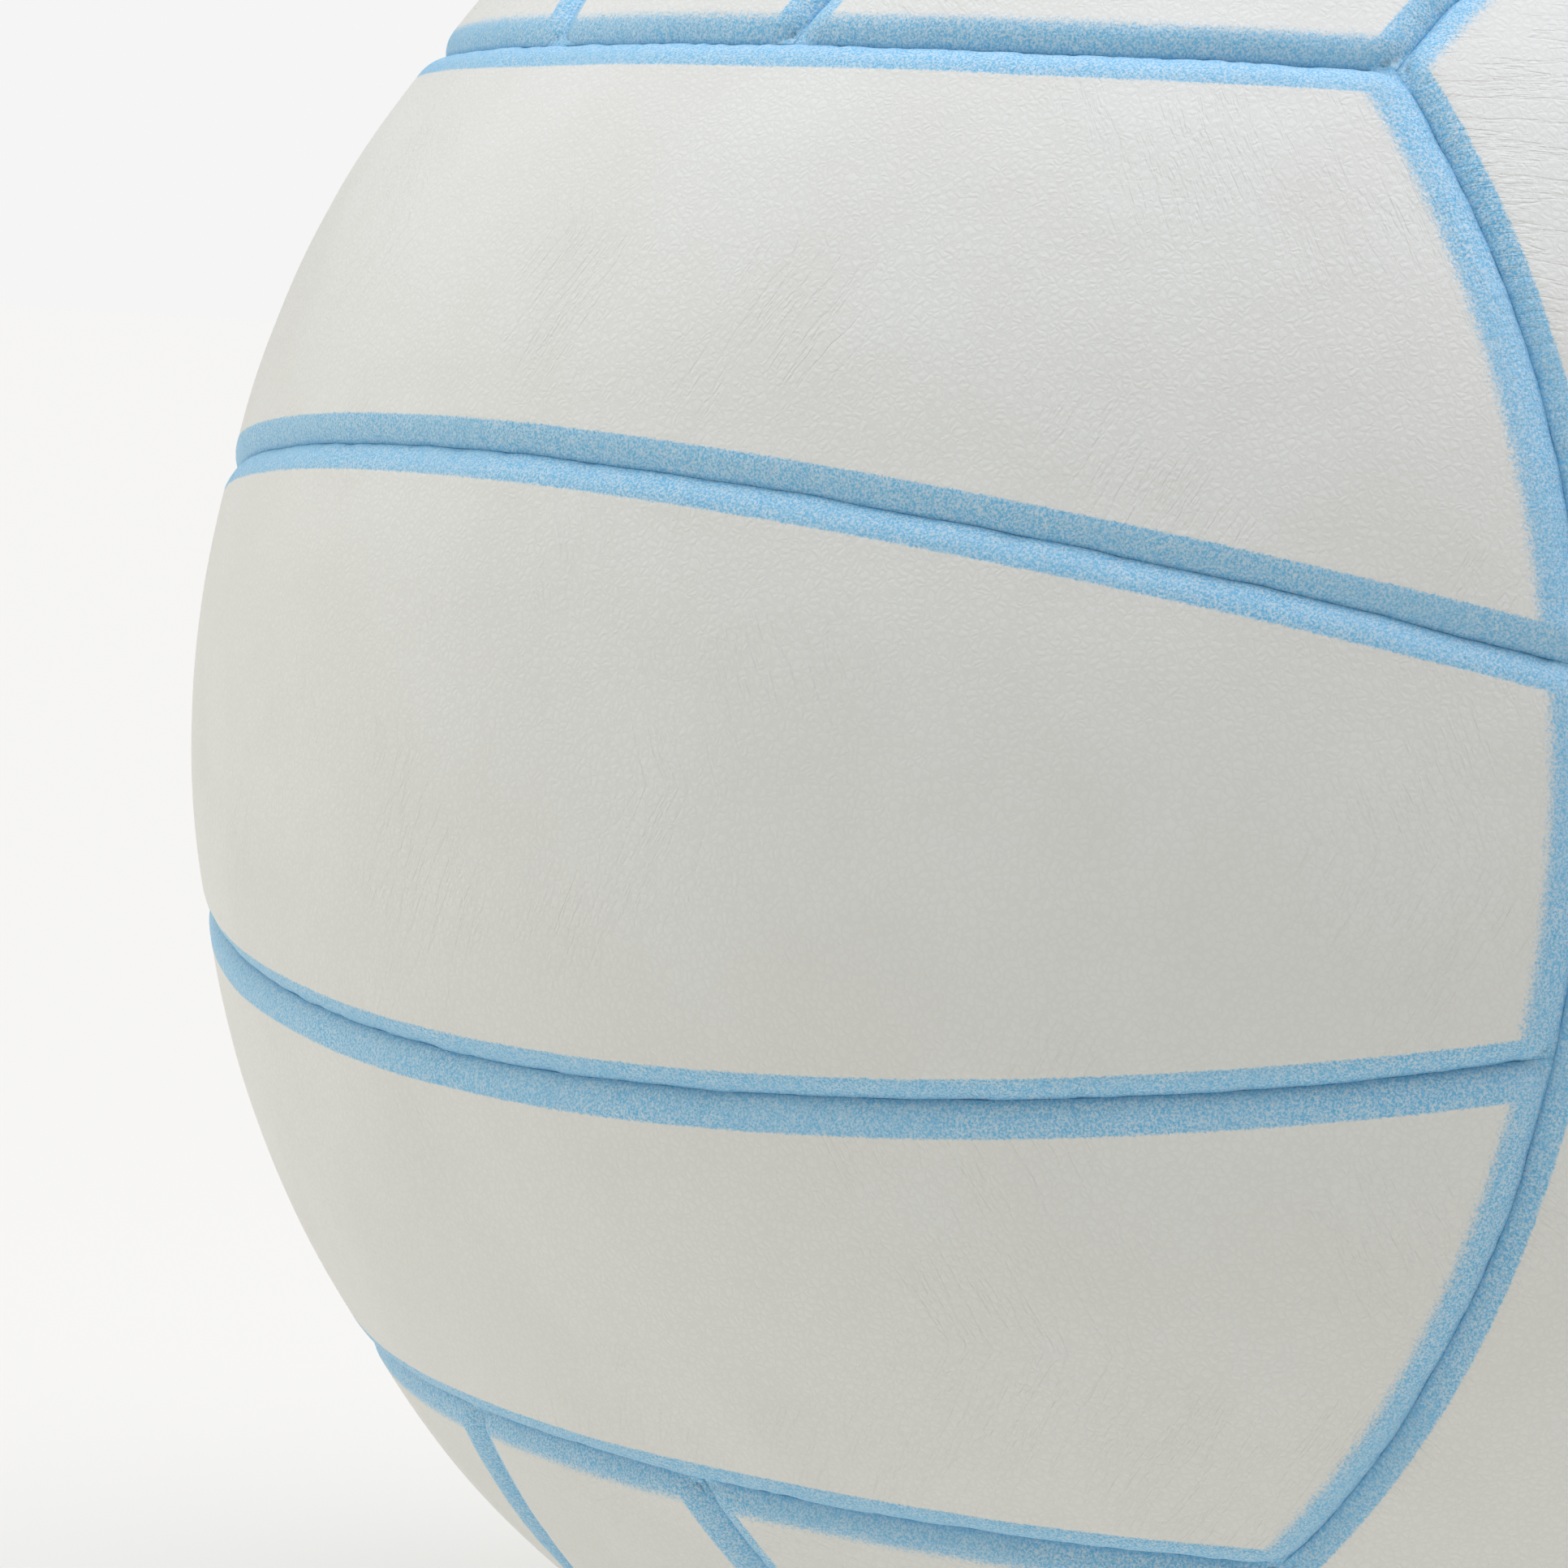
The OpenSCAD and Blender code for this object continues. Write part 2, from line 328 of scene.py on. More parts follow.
class Builder:
    """Collects directions, radii and faces of one closed piece."""

    def __init__(self):
        self.directions = []
        self.radii = []
        self.faces = []
        self.count = 0

    def add(self, directions, radii):
        """Adds points and returns their indices, in the same array shape."""
        shape = directions.shape[:-1]
        indices = np.arange(self.count, self.count + math.prod(shape)).reshape(shape)
        self.directions.append(directions.reshape(-1, 3))
        self.radii.append(np.broadcast_to(radii, shape).reshape(-1))
        self.count += indices.size
        return indices

    def grid(self, indices, outward, block=None):
        """Quads over a grid of indices, with a block of cells left out for a hole."""
        corners = np.stack([indices[:-1, :-1], indices[1:, :-1], indices[1:, 1:], indices[:-1, 1:]], -1)
        keep = np.ones(corners.shape[:2], bool)
        if block:
            keep[block[0]:block[1], block[2]:block[3]] = False
        quads = corners[keep]
        self.faces += (quads if outward else quads[:, ::-1]).tolist()

    def band(self, first, second):
        """Quads between two closed rings of the same length."""
        quads = np.stack([first, np.roll(first, -1), np.roll(second, -1), second], -1)
        self.faces += quads.tolist()

    def join(self, fine, coarse, flip):
        """One face for each edge of the coarse ring, along several edges of the fine one."""
        step = len(fine) // len(coarse)
        closed = np.append(fine, fine[0])
        for k in range(len(coarse)):
            stretch = closed[k * step:(k + 1) * step + 1].tolist()
            face = stretch + [int(coarse[(k + 1) % len(coarse)]), int(coarse[k])]
            self.faces.append(face[::-1] if flip else face)


def edge_ring(indices, block=None):
    """The closed ring round a grid of indices or a block of its cells, counterclockwise from outside."""
    if block:
        indices = indices[block[0]:block[1] + 1, block[2]:block[3] + 1]
    return np.concatenate([indices[:-1, 0], indices[-1, :-1], indices[:0:-1, -1], indices[0, :0:-1]])


EDGE_ZONE = 4.2 * MM       # how far from an edge the grid lines crowd together
EDGE_POWER = 1.7           # how much closer they are right at the edge
EDGE_COARSE = 2            # how many coarse cells that zone holds


def grid_lines(total, inset, cells, edge_cells):
    """Places of grid lines from 0 to 1, closest together at both edges."""
    edge = EDGE_ZONE * (np.arange(edge_cells + 1) / edge_cells) ** EDGE_POWER / total
    middle = np.linspace(edge[-1], 1 - edge[-1], cells - 2 * edge_cells + 1)
    lines = np.concatenate([edge[:-1], middle, (1 - edge[:-1])[::-1]])
    return inset / total + (1 - 2 * inset / total) * lines


# inset from the seams, function from a direction to the outer radius, inner radius, rim's radius or None,
# coarse cells, how finely the outer skin splits them, radius of the valve's hole
Form = namedtuple("Form", "inset outer inner_r rim_r cells split hole_r")


def hole_block(strip, form):
    """The block of coarse cells round the valve's hole: lowest and highest line along u, then along v."""
    block = []
    for size, count in zip(strip.size, form.cells):
        half = math.ceil((form.hole_r + HOLE_MARGIN) * count / size)
        block += [count // 2 - half, count // 2 + half]
    return tuple(block)


def hole_rings(builder, form, ring, directions):
    """Adds rings from a square ring of a grid in to the valve's hole, and returns the last, at its lip."""
    start = directions.reshape(-1, 3)[ring]
    angle = np.arctan2(start[:, 2], start[:, 0])
    lip = np.stack([np.cos(angle), np.sin(angle)], -1) * form.hole_r / BALL_R
    for k in range(1, HOLE_STEPS + 1):
        blend = 1 - (1 - k / HOLE_STEPS) ** 2
        flat = start[:, (0, 2)] * (1 - blend) + lip * blend
        depth = -np.sqrt(1 - (flat ** 2).sum(axis=1))
        direction = np.stack([flat[:, 0], depth, flat[:, 1]], -1)
        inner_ring = builder.add(direction, form.outer(direction))
        builder.band(ring, inner_ring)
        ring = inner_ring
    return ring


def strip_lines(strip, form):
    """The grid lines of a panel's outer skin along u and v."""
    lines = []
    for size, coarse in zip(strip.size, form.cells):
        cells = coarse * form.split
        edge_cells = min(EDGE_COARSE * form.split, cells // 4)
        lines.append(grid_lines(size, form.inset, cells, edge_cells))
    return lines


def inner_lines(strip, form, lines):
    """The coarser grid lines of its inner skin, which ends further in where there is a rim."""
    rim_inset = RIM_T if form.rim_r else 0
    shrink = [rim_inset / size for size in strip.size]
    return [less + (1 - 2 * less) * fine[::form.split] for less, fine in zip(shrink, lines)]


def close_edge(builder, form, outer_edge, inner_edge):
    """Joins the outer skin's edge to the inner skin's, straight or round a rim that reaches inwards."""
    if form.rim_r is None:
        builder.join(outer_edge, inner_edge, True)
        return
    directions = np.concatenate(builder.directions)
    foot = builder.add(directions[outer_edge], form.rim_r)
    builder.band(foot, outer_edge)
    lip = builder.add(directions[inner_edge], form.rim_r)
    builder.join(foot, lip, True)
    builder.band(inner_edge, lip)


def build_closed(strip, form, holed):
    """A closed panel: its outer skin, its edge with or without a rim, and its inner skin."""
    builder = Builder()
    coarse_block = hole_block(strip, form) if holed else None
    fine_block = tuple(form.split * line for line in coarse_block) if holed else None
    along, across = strip_lines(strip, form)
    outer_way = patch(strip, along[:, None], across[None, :])
    outer = builder.add(outer_way, form.outer(outer_way))
    builder.grid(outer, True, fine_block)

    along, across = inner_lines(strip, form, (along, across))
    inner = builder.add(patch(strip, along[:, None], across[None, :]), form.inner_r)
    builder.grid(inner, False, coarse_block)
    close_edge(builder, form, edge_ring(outer), edge_ring(inner))
    if holed:
        lip = hole_rings(builder, form, edge_ring(outer, fine_block), outer_way)
        wall = builder.add(np.concatenate(builder.directions)[lip], form.inner_r)
        builder.band(lip, wall)
        builder.join(wall, edge_ring(inner, coarse_block), False)
    return builder


HALF_TURN = np.array([-1, -1, 1])      # what a half turn round Z does to a point's coordinates


def turn_to_face(points, face):
    """Turns points of the front face to another face."""
    points = points * HALF_TURN if face.half_turn else points
    return np.roll(points, face.thirds, axis=-1)


def turn_from_face(points, face):
    """Turns points of another face back to the front face."""
    points = np.roll(points, -face.thirds, axis=-1)
    return points * HALF_TURN if face.half_turn else points


def make_mesh(name, points, faces):
    """A smooth mesh object in the scene."""
    mesh = bpy.data.meshes.new(name)
    mesh.from_pydata(points.tolist(), [], faces)
    mesh.update()
    mesh.polygons.foreach_set("use_smooth", np.ones(len(mesh.polygons), bool))
    piece = bpy.data.objects.new(name, mesh)
    bpy.context.scene.collection.objects.link(piece)
    return piece


def store(piece, name, values):
    """Keeps a number for each point of a piece, for its material."""
    layer = piece.data.attributes.new(name, "FLOAT", "POINT")
    layer.data.foreach_set("value", np.asarray(values, np.float32))


def store_paint(piece, strip, face, trim):
    """Keeps how far each point of a panel lies from its seams, less the extra width of its paint there."""
    points = np.empty(len(piece.data.vertices) * 3)
    piece.data.vertices.foreach_get("co", points)
    points = points.reshape(-1, 3)
    direction = turn_from_face(points / np.linalg.norm(points, axis=1)[:, None], face)
    sides = [inside_edge(direction, edge) / MM - wider for edge, wider in zip(strip.sides, trim)]
    store(piece, "paint_side_mm", np.minimum(*sides))
    store(piece, "paint_end_mm", inside_edge(direction, strip.end) / MM - trim[2])


def panel_piece(name, strip, form, holed, face):
    """Builds a panel of one layer, turned to its face, with the distances its material needs."""
    builder = build_closed(strip, form, holed)
    direction = np.concatenate(builder.directions)
    points = direction * np.concatenate(builder.radii)[:, None]
    piece = make_mesh(name, warp(turn_to_face(points, face)), builder.faces)
    places = seam_places(strip, direction)
    for label, values in zip(("side_mm", "end_mm", "run_mm", "end_run_mm"), places):
        store(piece, label, values / MM)
    return piece


# ---------------------------------------------------------------- material nodes


class Graph:
    """Adds shader nodes to a tree and links them."""

    def __init__(self, tree):
        self.tree = tree

    def node(self, kind, **settings):
        """A new node with these settings."""
        node = self.tree.nodes.new(kind)
        for key, value in settings.items():
            setattr(node, key, value)
        return node

    def feed(self, socket, value):
        """Links a socket to another, or sets its value."""
        if isinstance(value, bpy.types.NodeSocket):
            self.tree.links.new(value, socket)
        else:
            socket.default_value = value

    def math(self, operation, first, second=0.0, third=0.0):
        """A sum or other operation of up to three values."""
        node = self.node("ShaderNodeMath", operation=operation)
        for socket, value in zip(node.inputs, (first, second, third)):
            self.feed(socket, value)
        return node.outputs[0]

    def ramp(self, value, low, high, start=0.0, stop=1.0):
        """A smooth step of the value, from start at low to stop at high."""
        node = self.node("ShaderNodeMapRange", interpolation_type="SMOOTHSTEP")
        for socket, number in zip(node.inputs, (value, low, high, start, stop)):
            self.feed(socket, number)
        return node.outputs[0]

    def mix(self, factor, first, second):
        """A colour between two colours."""
        node = self.node("ShaderNodeMix", data_type="RGBA")
        for index, value in ((0, factor), (6, first), (7, second)):
            self.feed(node.inputs[index], value)
        return node.outputs[2]

    def noise(self, place, scale, detail=2.0, rough=0.5):
        """A smooth noise from 0 to 1."""
        node = self.node("ShaderNodeTexNoise", noise_dimensions="3D")
        for key, value in (("Vector", place), ("Scale", scale), ("Detail", detail), ("Roughness", rough)):
            self.feed(node.inputs[key], value)
        return node.outputs["Fac"]

    def cells(self, place, scale):
        """How far a place lies from the edge of its cell."""
        node = self.node("ShaderNodeTexVoronoi", feature="DISTANCE_TO_EDGE")
        self.feed(node.inputs["Vector"], place)
        self.feed(node.inputs["Scale"], scale)
        return node.outputs["Distance"]

    def place_mm(self):
        """Object coordinates in millimetres."""
        coordinates = self.node("ShaderNodeTexCoord").outputs["Object"]
        node = self.node("ShaderNodeVectorMath", operation="SCALE")
        self.feed(node.inputs[0], coordinates)
        node.inputs["Scale"].default_value = 1 / MM
        return node.outputs[0]

    def offset(self, place, other, amount):
        """A place moved by a noise, for edges that waver."""
        node = self.node("ShaderNodeVectorMath", operation="MULTIPLY_ADD")
        self.feed(node.inputs[0], other)
        self.feed(node.inputs[1], (amount, amount, amount))
        self.feed(node.inputs[2], place)
        return node.outputs[0]

    def add_shaders(self, first, second):
        """The sum of two shaders."""
        node = self.node("ShaderNodeAddShader")
        self.feed(node.inputs[0], first)
        self.feed(node.inputs[1], second)
        return node.outputs[0]

    def vector(self, x, y):
        """A place in the plane from two values."""
        node = self.node("ShaderNodeCombineXYZ")
        for socket, value in zip(node.inputs, (x, y)):
            self.feed(socket, value)
        return node.outputs[0]

    def stored(self, name):
        """A number kept for each point of the mesh."""
        return self.node("ShaderNodeAttribute", attribute_name=name).outputs["Fac"]

    def bump(self, height, distance, below=None):
        """A bump of that height in metres, on top of another bump."""
        node = self.node("ShaderNodeBump")
        self.feed(node.inputs["Distance"], distance)
        self.feed(node.inputs["Height"], height)
        if below is not None:
            self.feed(node.inputs["Normal"], below)
        return node.outputs["Normal"]


def new_material(name):
    """An empty node material, its graph and its surface shader."""
    material = bpy.data.materials.new(name)
    material.use_nodes = True
    material.node_tree.nodes.clear()
    graph = Graph(material.node_tree)
    shader = graph.node("ShaderNodeBsdfPrincipled")
    output = graph.node("ShaderNodeOutputMaterial")
    graph.feed(output.inputs["Surface"], shader.outputs["BSDF"])
    return material, graph, shader


LEATHER_LIGHT = (0.825, 0.825, 0.775, 1)
LEATHER_DARK = (0.805, 0.800, 0.745, 1)
LEATHER_VALLEY_SHADE = (0.72, 0.715, 0.66, 1)    # painted shade between the embossed cells, in their hollows
PAINT_DENSE_AND_SHADE = (0.09, 0.38, 0.64, 1)         # down in the crease of a seam: partly denser paint, partly painted shade of the groove
PAINT_BLUE = (0.145, 0.50, 0.775, 1)
PAINT_MIDDLE = (0.36, 0.62, 0.80, 1)
PAINT_PALE = (0.62, 0.765, 0.84, 1)

# scales of the leather's noises and cells: about how many features there are in a millimetre
TONE_SCALE = 0.06          # the slow change of the leather's tone
PEBBLE_SCALE = 1.45        # its embossed cells
FINE_SCALE = 5.5           # the fine grain on top of them
SPECK_SCALE = 4.9          # the paint's speckle
CLOUD_SCALE = 1.1          # small clouds of deeper paint
EVEN_SCALE = 0.07          # where the paint is more even
SPRAY_SCALE = 4.2          # the grain of the paint's edge
WANDER_SCALE = 0.7         # how quickly the embossed cells are pushed about
PATCH_SCALE = 0.05         # where the leather has long wrinkles
WANDER_MM = 1.2            # how far the embossed cells are pushed about

# heights of the bumps
PEBBLE_H = 0.035 * MM
FINE_H = 0.026 * MM
WRINKLE_H = 0.034 * MM
FOLD_H = 0.17 * MM
FOLD_REACH = 5.0           # how far from a seam the fine folds fade out, in millimetres


def paint_mask(graph, place):
    """Where the paint lies: crisp beside the long sides, and thinning out like spray beside the ends."""
    grain = graph.math("SUBTRACT", graph.noise(place, SPRAY_SCALE, 2.0, 0.7), 0.5)
    side = graph.math("MULTIPLY_ADD", grain, 0.6, graph.stored("paint_side_mm"))
    on_side = graph.ramp(side, BAND_W - 0.10, BAND_W + 0.10, 1.0, 0.0)
    density = graph.ramp(graph.stored("paint_end_mm"), BAND_W - 1.7, BAND_W + 1.3, 1.0, 0.0)
    on_end = graph.ramp(graph.math("MULTIPLY_ADD", grain, 1.3, density), 0.22, 0.78)
    return graph.math("MAXIMUM", on_side, on_end)


def paint_tone(graph, place, nearest):
    """The paint's colour: speckled, evener and cloudier in places, and deeper down in the crease, from
    denser paint and painted shade of the groove.
    """
    speck = graph.ramp(graph.noise(place, SPECK_SCALE, 2.0, 0.7), 0.34, 0.66)
    paint = graph.mix(speck, PAINT_BLUE, PAINT_PALE)
    even = graph.ramp(graph.noise(place, EVEN_SCALE, 2.0), 0.35, 0.6, 0.0, 0.25)
    paint = graph.mix(even, paint, PAINT_MIDDLE)
    cloudy = graph.ramp(graph.noise(place, CLOUD_SCALE, 2.0), 0.35, 0.75, 0.0, 0.22)
    paint = graph.mix(cloudy, paint, PAINT_BLUE)
    # darker blue close to a seam: partly denser paint, partly painted shade of the groove
    dense_and_shade = graph.ramp(nearest, 0.05, 0.40, 0.36, 0.0)
    return graph.mix(dense_and_shade, paint, PAINT_DENSE_AND_SHADE)


def leather_tone(graph, place, pebble):
    """The bare leather's colour, which changes slowly, with painted shade darkening it between the
    embossed cells.
    """
    patchy = graph.ramp(graph.noise(place, TONE_SCALE, 3.0), 0.35, 0.65)
    # painted shade in the hollows between the embossed cells
    valley_shade = graph.ramp(pebble, 0.05, 0.40, 0.30, 0.0)
    return graph.mix(valley_shade, graph.mix(patchy, LEATHER_LIGHT, LEATHER_DARK), LEATHER_VALLEY_SHADE)


def embossed_cells(graph, place):
    """The height of the leather's embossed cells, which are domed and of uneven shape."""
    wander = graph.node("ShaderNodeTexNoise")
    graph.feed(wander.inputs["Vector"], place)
    graph.feed(wander.inputs["Scale"], WANDER_SCALE)
    bent = graph.offset(place, wander.outputs["Color"], WANDER_MM)
    return graph.ramp(graph.cells(bent, PEBBLE_SCALE), -0.10, 0.55)


def long_wrinkles(graph, place, run, side):
    """The height of long faint wrinkles that slant away from the seams, in some patches only."""
    slanted = graph.math("MULTIPLY_ADD", side, -0.5, run)
    lines_place = graph.vector(graph.math("MULTIPLY", slanted, 0.40), graph.math("MULTIPLY", side, 0.07))
    ridge = graph.math("ABSOLUTE", graph.math("SUBTRACT", graph.noise(lines_place, 1.0, 4.0, 0.6), 0.5))
    patches = graph.ramp(graph.noise(place, PATCH_SCALE, 2.0), 0.45, 0.62)
    return graph.math("MULTIPLY", graph.ramp(ridge, 0.0, 0.05), patches)


def seam_folds(graph, run, across):
    """The height of fine folds that run away from a seam and fade out."""
    place = graph.vector(graph.math("MULTIPLY", run, 1.5), graph.math("MULTIPLY", across, 0.28))
    folds = graph.noise(place, 1.0, 3.0, 0.6)
    fade = graph.ramp(across, 0.0, FOLD_REACH, 1.0, 0.0)
    return graph.math("MULTIPLY", folds, fade)


def leather_material():
    """Off-white grained synthetic leather with the painted bands."""
    material, graph, shader = new_material("painted_leather")
    place = graph.place_mm()
    side, end = graph.stored("side_mm"), graph.stored("end_mm")
    run, end_run = graph.stored("run_mm"), graph.stored("end_run_mm")
    pebble = embossed_cells(graph, place)
    fine = graph.noise(place, FINE_SCALE, 3.0, 0.6)
    folds = graph.math("ADD", seam_folds(graph, run, side), seam_folds(graph, end_run, end))

    paint = paint_tone(graph, place, graph.math("MINIMUM", side, end))
    tone = graph.mix(paint_mask(graph, place), leather_tone(graph, place, pebble), paint)
    normal = graph.bump(pebble, PEBBLE_H)
    normal = graph.bump(fine, FINE_H, normal)
    normal = graph.bump(long_wrinkles(graph, place, run, side), WRINKLE_H, normal)
    normal = graph.bump(folds, FOLD_H, normal)
    graph.feed(shader.inputs["Base Color"], tone)
    graph.feed(shader.inputs["Normal"], normal)
    graph.feed(shader.inputs["Roughness"], graph.math("MULTIPLY_ADD", fine, 0.18, 0.46))
    shader.inputs["Specular IOR Level"].default_value = 0.35
    return material


FOAM_SCALE = 1.6           # pores in a millimetre of foam
FOAM_LIGHT = (0.80, 0.76, 0.62, 1)
FOAM_DARK = (0.70, 0.65, 0.50, 1)
# painted shade down in the foam's pores
FOAM_PORE_SHADE = (0.48, 0.43, 0.31, 1)
FOAM_BUMP = 0.12 * MM
CLOTH_PITCH = 0.8          # from one pair of threads to the next, in millimetres
# the first tone is painted shade where the threads dip under each other, the second the threads' own tone
CLOTH_DIP_SHADE = (0.44, 0.42, 0.37, 1)
CLOTH_HIGH = (0.74, 0.72, 0.66, 1)
CLOTH_BUMP = 0.12 * MM
THREAD_SCALE = 2.4         # marks of the twisted plies in a millimetre
# painted shade where the thread's surface is lower, between the plies
THREAD_GROOVE_SHADE = (0.55, 0.53, 0.47, 1)
THREAD_LIGHT = (0.80, 0.79, 0.74, 1)
THREAD_BUMP = 0.10 * MM
RUBBER_BUMP = 0.04 * MM


def foam_material():
    """Closed-cell foam, cream, with small pores darkened by painted shade."""
    material, graph, shader = new_material("foam")
    place = graph.place_mm()
    pores = graph.ramp(graph.cells(place, FOAM_SCALE), 0.0, 0.35)
    tint = graph.mix(graph.noise(place, 0.15, 3.0), FOAM_LIGHT, FOAM_DARK)
    # the pores, which the bump makes lower, get a darker tone: painted shade in their hollows
    graph.feed(shader.inputs["Base Color"], graph.mix(pores, FOAM_PORE_SHADE, tint))
    graph.feed(shader.inputs["Normal"], graph.bump(pores, FOAM_BUMP))
    graph.feed(shader.inputs["Roughness"], graph.math("MULTIPLY_ADD", pores, 0.15, 0.75))
    return material


def cloth_material():
    """Plain woven backing cloth, from two crossed sets of threads, with painted shade where they dip."""
    material, graph, shader = new_material("backing_cloth")
    threads = [graph.math("SINE", graph.math("MULTIPLY", graph.stored(way), 2 * math.pi / CLOTH_PITCH))
               for way in ("run_mm", "side_mm")]
    weave = graph.math("MULTIPLY_ADD", graph.math("MULTIPLY", *threads), 0.5, 0.5)
    fuzz = graph.noise(graph.place_mm(), 3.0, 3.0)
    height = graph.math("MULTIPLY_ADD", fuzz, 0.4, weave)
    # darker where the weave is lower: painted shade
    graph.feed(shader.inputs["Base Color"], graph.mix(weave, CLOTH_DIP_SHADE, CLOTH_HIGH))
    graph.feed(shader.inputs["Normal"], graph.bump(height, CLOTH_BUMP))
    graph.feed(shader.inputs["Roughness"], graph.math("MULTIPLY_ADD", fuzz, 0.1, 0.82))
    shader.inputs["Sheen Weight"].default_value = 0.3
    return material


def thread_material():
    """Waxed twisted thread, with painted shade where its surface is lower."""
    material, graph, shader = new_material("waxed_thread")
    place = graph.place_mm()
    plies = graph.noise(place, THREAD_SCALE, 2.0, 0.7)
    # darker where the plies' bump is lower: painted shade
    tone = graph.mix(graph.ramp(plies, 0.3, 0.7), THREAD_GROOVE_SHADE, THREAD_LIGHT)
    graph.feed(shader.inputs["Base Color"], tone)
    graph.feed(shader.inputs["Normal"], graph.bump(plies, THREAD_BUMP))
    graph.feed(shader.inputs["Roughness"], graph.math("MULTIPLY_ADD", plies, 0.2, 0.40))
    return material


def rubber_material(name, dark, light, rough):
    """Moulded rubber with a dusty bloom."""
    material, graph, shader = new_material(name)
    place = graph.place_mm()
    bloom = graph.ramp(graph.noise(place, 0.12, 4.0, 0.6), 0.35, 0.7)
    grit = graph.noise(place, 3.5, 3.0, 0.6)
    graph.feed(shader.inputs["Base Color"], graph.mix(bloom, dark, light))
    graph.feed(shader.inputs["Normal"], graph.bump(grit, RUBBER_BUMP))
    graph.feed(shader.inputs["Roughness"], graph.math("MULTIPLY_ADD", bloom, 0.2, rough))
    return material


# ---------------------------------------------------------------- panels, pads and cloths


def finish_piece(piece, material, node):
    """Gives a piece its material and ties it to the frame."""
    piece.data.materials.append(material)
    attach(piece, "root")
    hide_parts(node)


def leather_form(strip, face, seed):
    """The form of one cover panel."""
    holed = (face.name, strip.side) == VALVE_PANEL

    def outer(direction):
        place = turn_to_face(direction, face)
        radius = leather_radius(strip, direction, place, seed)
        return radius - (hole_drop(direction, COVER_HOLE_R) if holed else 0)

    return Form(COVER_GAP, outer, SKIN_IN_R, RIM_R, LEATHER_CELLS, LEATHER_SPLIT, COVER_HOLE_R)


def soft_form(strip, inset, outer_r, inner_r, shoulder):
    """The form of a foam pad or cloth: even inside, with outer edges rounded over the shoulder's size."""

    def outer(direction):
        side, end = seam_places(strip, direction)[:2]
        near = [np.clip(1 - (edge - inset) / shoulder, 0, 1) for edge in (side, end)]
        turn = np.minimum(np.hypot(*near), 1)
        return outer_r - (outer_r - inner_r) * SOFT_TURN * arc_drop(turn)

    return Form(inset, outer, inner_r, None, SOFT_CELLS, 1, PAD_HOLE_R)


def build_pad(name, strip, face, holed, foam):
    """The foam pad behind a panel."""
    form = soft_form(strip, FOAM_INSET, FOAM_OUT_R, FOAM_IN_R, FOAM_SHOULDER)
    pad = panel_piece(f"pad_{name}", strip, form, holed, face)
    finish_piece(pad, foam, f"foam_{name}")
    return pad


def build_backing(name, strip, face, holed, cloth):
    """The stretched cloth that a pad is glued to."""
    form = soft_form(strip, CLOTH_INSET, CLOTH_OUT_R, CLOTH_IN_R, CLOTH_SHOULDER)
    backing = panel_piece(f"backing_{name}", strip, form, holed, face)
    finish_piece(backing, cloth, f"cloth_{name}")


def build_layers():
    """All the cover panels, foam pads and backing cloths."""
    leather, foam, cloth = leather_material(), foam_material(), cloth_material()
    for number, face in enumerate(FACES):
        for side in (1, 0, -1):
            strip = make_strip(side)
            label = {1: face.plus, 0: "middle", -1: face.minus}[side]
            name = f"{face.name}_{label}"
            holed = (face.name, side) == VALVE_PANEL
            seed = FIRST_SEED + FACE_SEEDS * number + side

            panel = panel_piece(f"leather_{name}", strip, leather_form(strip, face, seed), holed, face)
            store_paint(panel, strip, face, band_trim(name, seed))
            finish_piece(panel, leather, f"cover_{name}")
            pad = build_pad(name, strip, face, holed, foam)
            build_backing(name, strip, face, holed, cloth)


build_layers()

# ---------------------------------------------------------------- pieces that keep their CAD shape

ROUNDING_W = 0.35 * MM
ROUNDING_STEPS = 3
# name of the material, its dark and its light tone and its roughness, for each node of rubber
RUBBERS = {
    "bladder": ("bladder_rubber", (0.018, 0.018, 0.019, 1), (0.045, 0.045, 0.047, 1), 0.50),
    "bladder_patch": ("patch_rubber", (0.03, 0.03, 0.032, 1), (0.06, 0.06, 0.063, 1), 0.55),
    "valve_housing": ("housing_rubber", (0.02, 0.02, 0.02, 1), (0.04, 0.04, 0.04, 1), 0.45),
    "valve_core": ("core_rubber", (0.03, 0.03, 0.03, 1), (0.055, 0.055, 0.055, 1), 0.40),
}


def dress_kept():
    """Gives the pieces that keep their CAD shape their materials, and the valve small rounded edges."""
    kept = {"seam_thread": thread_material()}
    for node, rubber in RUBBERS.items():
        kept[node] = rubber_material(*rubber)
    for node, material in kept.items():
        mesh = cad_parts[node].data
        mesh.materials.clear()
        mesh.materials.append(material)
    for node in ("valve_housing", "valve_core"):
        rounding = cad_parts[node].modifiers.new("rounded_edges", "BEVEL")
        rounding.width = ROUNDING_W
        rounding.segments = ROUNDING_STEPS
        rounding.limit_method = "ANGLE"


dress_kept()

# ---------------------------------------------------------------- floor, light and camera

BACKDROP = 0.913           # the pale backdrop's brightness
FLOOR_HALF = 40.0          # half the side of the floor
FLOOR_GLOW = 0.45          # light from the floor itself, which keeps the ball's shadow faint
FLOOR_TONE = (0.390, 0.380, 0.345, 1)
LIGHT_FOCUS = 10           # how quickly each soft light fades away from its own direction
# azimuth from -Y towards +X and elevation in degrees, strength and colour of each soft light
SOFT_LIGHTS = [
    (0, 90, 2.68, (1.02, 1.0, 1.22, 1)),
    (120, 60, 2.05, (1.0, 1.0, 1.02, 1)),
    (150, 60, 0.40, (1.0, 1.0, 1.0, 1)),
    (-30, 60, 1.59, (0.84, 1.0, 0.97, 1)),
    (-60, 12, 1.74, (1.12, 1.0, 0.90, 1)),
    (180, 12, 0.77, (1.07, 1.0, 0.80, 1)),
]


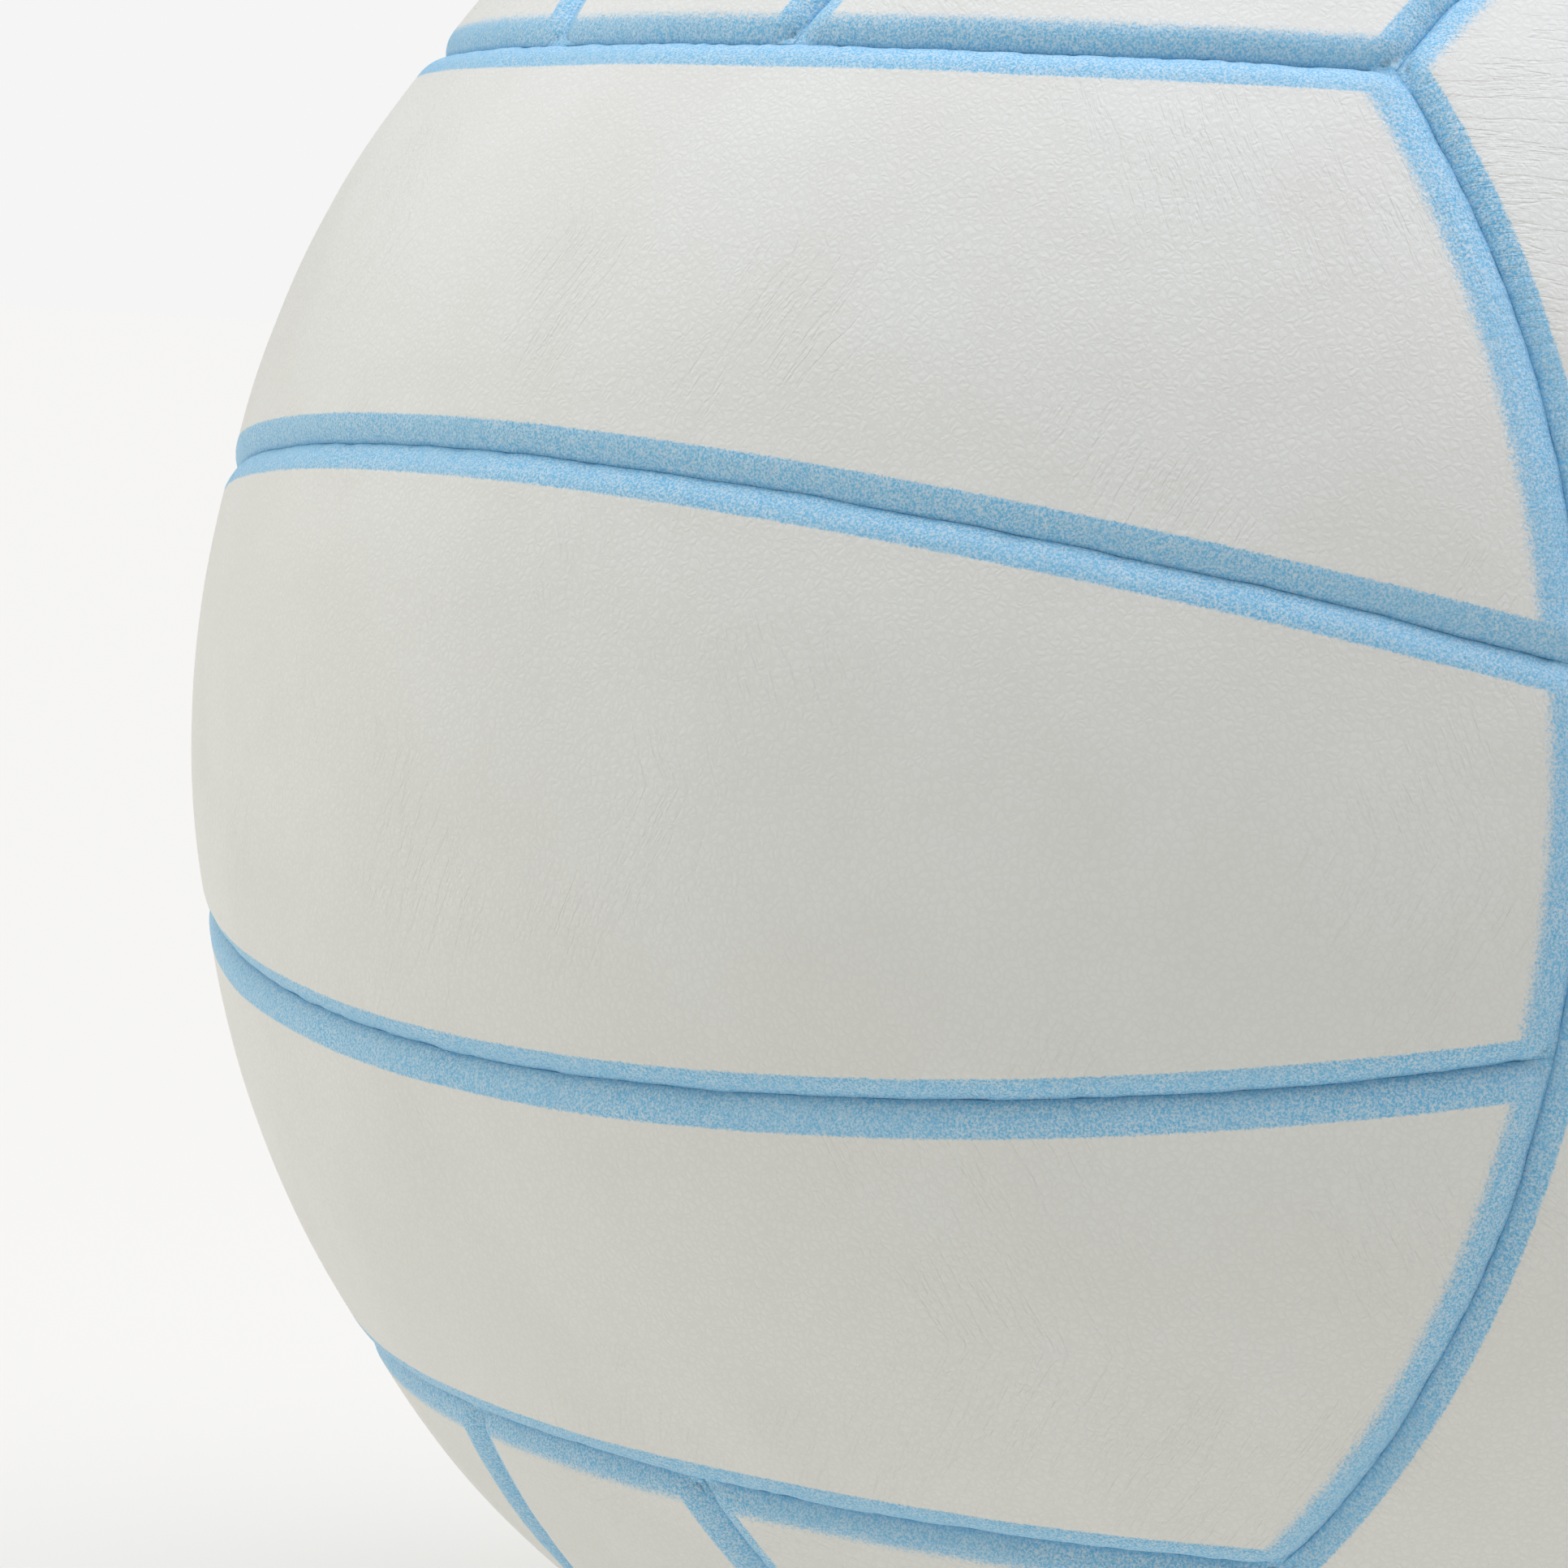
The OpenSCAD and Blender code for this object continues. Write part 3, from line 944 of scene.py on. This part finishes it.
def build_floor():
    """A large pale floor that the ball stands on."""
    quarters = ((-1, -1), (1, -1), (1, 1), (-1, 1))
    corners = np.array([(x * FLOOR_HALF, y * FLOOR_HALF, -BALL_R) for x, y in quarters])
    floor = make_mesh("floor", corners, [(0, 1, 2, 3)])
    material, _, shader = new_material("floor")
    shader.inputs["Base Color"].default_value = FLOOR_TONE
    shader.inputs["Roughness"].default_value = 1.0
    shader.inputs["Specular IOR Level"].default_value = 0.0
    shader.inputs["Emission Color"].default_value = (1, 1, 1, 1)
    shader.inputs["Emission Strength"].default_value = FLOOR_GLOW
    floor.data.materials.append(material)


def unit_way(azimuth, elevation):
    """The direction at an azimuth from -Y towards +X and an elevation, in degrees."""
    azimuth, elevation = math.radians(azimuth), math.radians(elevation)
    flat = math.cos(elevation)
    return Vector((flat * math.sin(azimuth), -flat * math.cos(azimuth), math.sin(elevation)))


def soft_light(graph, way, centre, strength, colour):
    """Light that is strongest from one direction and fades smoothly round it."""
    dot = graph.node("ShaderNodeVectorMath", operation="DOT_PRODUCT")
    graph.feed(dot.inputs[0], way)
    graph.feed(dot.inputs[1], centre)
    away = graph.math("MULTIPLY_ADD", dot.outputs["Value"], LIGHT_FOCUS, -LIGHT_FOCUS)
    fade = graph.math("EXPONENT", away)
    light = graph.node("ShaderNodeBackground")
    light.inputs["Color"].default_value = colour
    graph.feed(light.inputs["Strength"], graph.math("MULTIPLY", fade, strength))
    return light.outputs[0]


def build_world():
    """Soft studio light from a few wide directions, and a plain pale backdrop."""
    world = bpy.data.worlds.new("studio")
    bpy.context.scene.world = world
    world.use_nodes = True
    world.node_tree.nodes.clear()
    graph = Graph(world.node_tree)
    way = graph.node("ShaderNodeTexCoord").outputs["Generated"]
    light = None
    for azimuth, elevation, strength, colour in SOFT_LIGHTS:
        lamp = soft_light(graph, way, unit_way(azimuth, elevation), strength, colour)
        light = lamp if light is None else graph.add_shaders(light, lamp)
    backdrop = graph.node("ShaderNodeBackground")
    backdrop.inputs["Color"].default_value = (BACKDROP, BACKDROP, BACKDROP, 1)
    choose = graph.node("ShaderNodeMixShader")
    graph.feed(choose.inputs[0], graph.node("ShaderNodeLightPath").outputs["Is Camera Ray"])
    graph.feed(choose.inputs[1], light)
    graph.feed(choose.inputs[2], backdrop.outputs[0])
    output = graph.node("ShaderNodeOutputWorld")
    graph.feed(output.inputs["Surface"], choose.outputs[0])


CAMERA_DISTANCE = 0.48107                  # from the ball's centre
CAMERA_AZIMUTH = 41.863                    # in degrees, from -Y towards +X
CAMERA_ELEVATION = 4.247
CAMERA_HEADING = 47.625                    # in degrees, from +Y towards -X
CAMERA_PITCH = -5.094
CAMERA_ROLL = 3.722
CAMERA_LENS = 113.818                      # in millimetres, on a sensor 36 mm wide
SENSOR_W = 36
CAMERA_CLIP = (0.01, 200)


def build_camera():
    """The photo's camera, fitted to the seams and the outline."""
    data = bpy.data.cameras.new("camera")
    data.lens = CAMERA_LENS
    data.sensor_width = SENSOR_W
    data.clip_start, data.clip_end = CAMERA_CLIP
    camera = bpy.data.objects.new("camera", data)
    bpy.context.scene.collection.objects.link(camera)
    place = CAMERA_DISTANCE * unit_way(CAMERA_AZIMUTH, CAMERA_ELEVATION)
    aim = Matrix.Rotation(math.radians(CAMERA_HEADING), 4, "Z")
    aim = aim @ Matrix.Rotation(math.radians(90 + CAMERA_PITCH), 4, "X")
    aim = aim @ Matrix.Rotation(math.radians(CAMERA_ROLL), 4, "Z")
    camera.matrix_world = Matrix.Translation(place) @ aim
    bpy.context.scene.camera = camera


build_floor()
build_world()
build_camera()
bpy.context.scene.view_settings.view_transform = "Standard"
